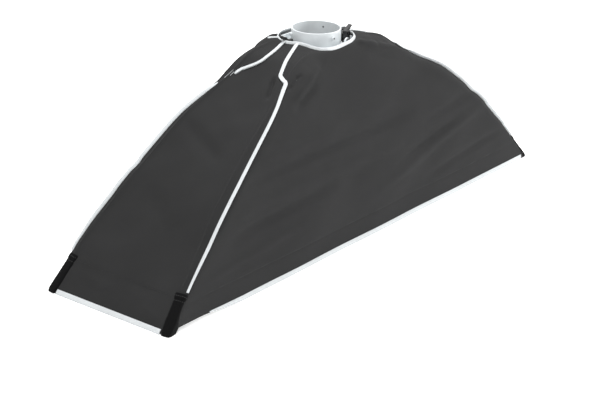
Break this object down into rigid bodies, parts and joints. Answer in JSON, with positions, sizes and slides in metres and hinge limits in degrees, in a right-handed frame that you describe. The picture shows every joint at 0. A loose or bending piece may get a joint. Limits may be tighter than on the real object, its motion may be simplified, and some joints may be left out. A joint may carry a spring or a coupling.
{
  "type": "strip softbox",
  "caption": "Long narrow folding softbox: fabric shell over four bowed ribs, hinged at a round mount collar, with two release latches and a recessed front diffuser.",
  "frame": {"origin": "on the floor plane of the front rim, under the middle of the mount collar", "axes": "+X along the strip, +Y across it, +Z from the front rim up to the mount"},
  "size_m": [1.2006, 0.3, 0.4],
  "materials": {
    "cast_grey": "satin",
    "dark_steel": "satin",
    "black_steel": "satin",
    "bright_steel": "satin",
    "spring_steel": "satin",
    "black_plastic": "matte",
    "shell_fabric": "matte",
    "pocket_fabric": "matte",
    "binding": "matte",
    "diffusion_cloth": "matte",
    "hook_tape": "matte"
  },
  "bodies": {
    "hub": {"hub_plate": "cast_grey", "hinge_pins": "bright_steel", "right_latch_housing": "black_plastic", "left_latch_housing": "black_plastic", "latch_pins": "bright_steel", "latch_springs": "bright_steel", "opening_binding": "binding", "near_side_panel": "shell_fabric", "far_side_panel": "shell_fabric", "near_side_hem": "binding", "far_side_hem": "binding", "front_diffuser": "diffusion_cloth", "diffuser_edge": "diffusion_cloth", "diffuser_tapes": "hook_tape", "inner_baffle": "diffusion_cloth"},
    "collar": {"mount_collar": "cast_grey", "collar_screws": "dark_steel", "retaining_ring": "dark_steel"},
    "near_left_rib": {"near_left_arm": "black_steel", "near_left_rod": "spring_steel", "near_left_rivet": "bright_steel", "near_left_tip_cap": "black_plastic", "near_left_pocket": "pocket_fabric", "near_left_seam_binding": "binding", "left_end_panel": "shell_fabric", "left_end_hem": "binding"},
    "far_left_rib": {"far_left_arm": "black_steel", "far_left_rod": "spring_steel", "far_left_rivet": "bright_steel", "far_left_tip_cap": "black_plastic", "far_left_pocket": "pocket_fabric", "far_left_seam_binding": "binding"},
    "near_right_rib": {"near_right_arm": "black_steel", "near_right_rod": "spring_steel", "near_right_rivet": "bright_steel", "near_right_tip_cap": "black_plastic", "near_right_pocket": "pocket_fabric", "near_right_seam_binding": "binding", "right_end_panel": "shell_fabric", "right_end_hem": "binding"},
    "far_right_rib": {"far_right_arm": "black_steel", "far_right_rod": "spring_steel", "far_right_rivet": "bright_steel", "far_right_tip_cap": "black_plastic", "far_right_pocket": "pocket_fabric", "far_right_seam_binding": "binding"},
    "right_lever": {"right_latch_lever": "black_plastic"},
    "left_lever": {"left_latch_lever": "black_plastic"},
    "flap_body": {"flap": "shell_fabric", "flap_binding": "binding"}
  },
  "joints": [
    {"name": "near_left_fold", "type": "hinge", "parent": "hub", "child": "near_left_rib", "pos_m": [-0.052, -0.045, 0.366], "axis": [0, -1, 0], "range_deg": [0, 50], "deforming": ["near_side_panel", "far_side_panel", "near_side_hem", "far_side_hem", "front_diffuser", "diffuser_edge", "diffuser_tapes", "inner_baffle"]},
    {"name": "near_right_fold", "type": "hinge", "parent": "hub", "child": "near_right_rib", "pos_m": [0.052, -0.045, 0.366], "axis": [0, 1, 0], "range_deg": [0, 50]},
    {"name": "far_left_fold", "type": "hinge", "parent": "hub", "child": "far_left_rib", "pos_m": [-0.052, 0.045, 0.366], "axis": [0, -1, 0], "range_deg": [0, 50]},
    {"name": "far_right_fold", "type": "hinge", "parent": "hub", "child": "far_right_rib", "pos_m": [0.052, 0.045, 0.366], "axis": [0, 1, 0], "range_deg": [0, 50]},
    {"name": "mount_turn", "type": "hinge", "parent": "hub", "child": "collar", "pos_m": [0, 0, 0.362], "axis": [0, 0, 1], "continuous": true},
    {"name": "right_lever_press", "type": "hinge", "parent": "hub", "child": "right_lever", "pos_m": [0.062, -0.02495, 0.38], "axis": [0, 1, 0], "range_deg": [0, 18], "stiffness_Nm_per_rad": 0.12, "springref_deg": -20.05},
    {"name": "left_lever_press", "type": "hinge", "parent": "hub", "child": "left_lever", "pos_m": [-0.062, 0.02495, 0.38], "axis": [0, -1, 0], "range_deg": [0, 18], "stiffness_Nm_per_rad": 0.12, "springref_deg": -20.05},
    {"name": "flap_open", "type": "hinge", "parent": "far_left_rib", "child": "flap_body", "pos_m": [-0.088, 0.066, 0.3864], "axis": [-0.9176, 0, -0.3976], "range_deg": [0, 110]}
  ],
  "couplings": [
    {"joint": "near_right_fold", "follows": "near_left_fold", "ratio": 1},
    {"joint": "far_left_fold", "follows": "near_left_fold", "ratio": 1},
    {"joint": "far_right_fold", "follows": "near_left_fold", "ratio": 1}
  ]
}
